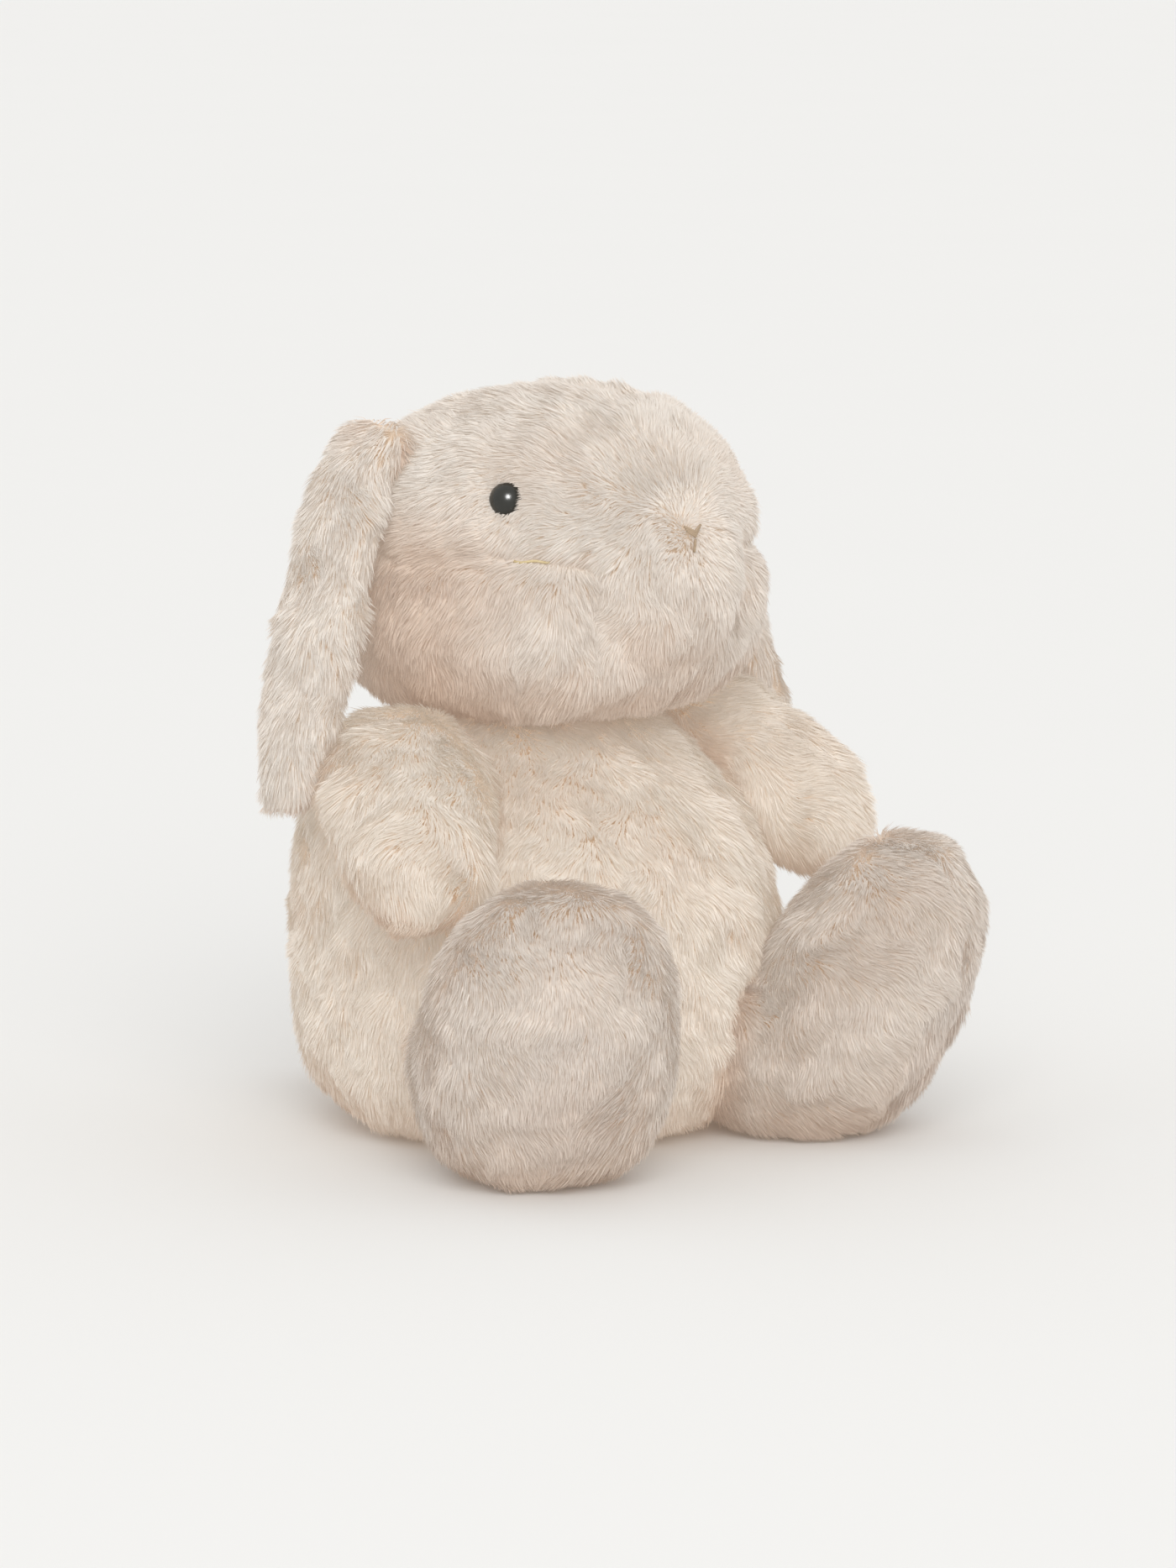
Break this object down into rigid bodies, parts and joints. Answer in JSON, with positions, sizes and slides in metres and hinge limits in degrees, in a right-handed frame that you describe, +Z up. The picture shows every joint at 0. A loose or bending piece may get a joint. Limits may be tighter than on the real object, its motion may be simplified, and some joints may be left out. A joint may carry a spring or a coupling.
{
  "type": "stuffed toy rabbit",
  "caption": "Sitting lop-eared rabbit soft toy in cream fur with a large round head, hanging ears, short arms and splayed legs that move on their seams.",
  "frame": {"origin": "middle of the flat seat under the trunk, on the upright axis through the trunk, at the surface that the toy sits on", "axes": "+Z up, -Y the way the rabbit faces, -X its right side; the toy is symmetrical about X = 0 apart from the label"},
  "size_m": [0.2476, 0.2699, 0.2865],
  "materials": {
    "cream_fur": "long soft cream faux-fur pile",
    "sole_fur": "shorter cream faux-fur pile",
    "ear_lining": "short cream faux-fur pile",
    "stuffing": "loose polyester fibre filling",
    "pouch_cotton": "plain cotton pouch filled with plastic pellets",
    "eye_gloss": "glossy black",
    "washer_plastic": "matte white",
    "face_thread": "embroidery thread",
    "label_satin": "satin"
  },
  "bodies": {
    "trunk": {"body_front_skin": "cream_fur", "body_back_skin": "cream_fur", "body_stuffing": "stuffing", "pellet_pouch": "pouch_cotton", "neck_plug": "stuffing", "tail_skin": "cream_fur", "tail_stuffing": "stuffing", "care_label": "label_satin"},
    "head": {"head_face_skin": "cream_fur", "head_back_skin": "cream_fur", "head_stuffing": "stuffing", "eye_right": "eye_gloss", "eye_left": "eye_gloss", "eye_washer_right": "washer_plastic", "eye_washer_left": "washer_plastic", "nose_stitch": "face_thread", "mouth_stitch": "face_thread"},
    "ear_right": {"ear_right_outer": "cream_fur", "ear_right_lining": "ear_lining"},
    "ear_left": {"ear_left_outer": "cream_fur", "ear_left_lining": "ear_lining"},
    "arm_right": {"arm_right_skin": "cream_fur", "arm_right_stuffing": "stuffing"},
    "arm_left": {"arm_left_skin": "cream_fur", "arm_left_stuffing": "stuffing"},
    "leg_right": {"leg_right_skin": "cream_fur", "leg_right_sole": "sole_fur", "leg_right_stuffing": "stuffing", "leg_right_pellets": "pouch_cotton"},
    "leg_left": {"leg_left_skin": "cream_fur", "leg_left_sole": "sole_fur", "leg_left_stuffing": "stuffing", "leg_left_pellets": "pouch_cotton"}
  },
  "joints": [
    {"name": "neck_nod", "type": "hinge", "parent": "trunk", "child": "head", "pos_m": [0, -0.004, 0.1535], "axis": [1, 0, 0], "range_deg": [-10, 8], "stiffness_Nm_per_rad": 0.4},
    {"name": "ear_right_lift", "type": "hinge", "parent": "head", "child": "ear_right", "pos_m": [-0.0705, 0.016, 0.2685], "axis": [0, 1, 0], "range_deg": [0, 110]},
    {"name": "ear_left_lift", "type": "hinge", "parent": "head", "child": "ear_left", "pos_m": [0.0705, 0.016, 0.2685], "axis": [0, -1, 0], "range_deg": [0, 110]},
    {"name": "arm_right_lift", "type": "hinge", "parent": "trunk", "child": "arm_right", "pos_m": [-0.072, -0.006, 0.144], "axis": [-1, 0, 0], "range_deg": [0, 30]},
    {"name": "arm_left_lift", "type": "hinge", "parent": "trunk", "child": "arm_left", "pos_m": [0.072, -0.006, 0.144], "axis": [-1, 0, 0], "range_deg": [0, 30]},
    {"name": "leg_right_swing", "type": "hinge", "parent": "trunk", "child": "leg_right", "pos_m": [-0.054, -0.055, 0.04], "axis": [0, 0, -1], "range_deg": [-12, 10]},
    {"name": "leg_left_swing", "type": "hinge", "parent": "trunk", "child": "leg_left", "pos_m": [0.054, -0.055, 0.04], "axis": [0, 0, 1], "range_deg": [-12, 10]}
  ]
}
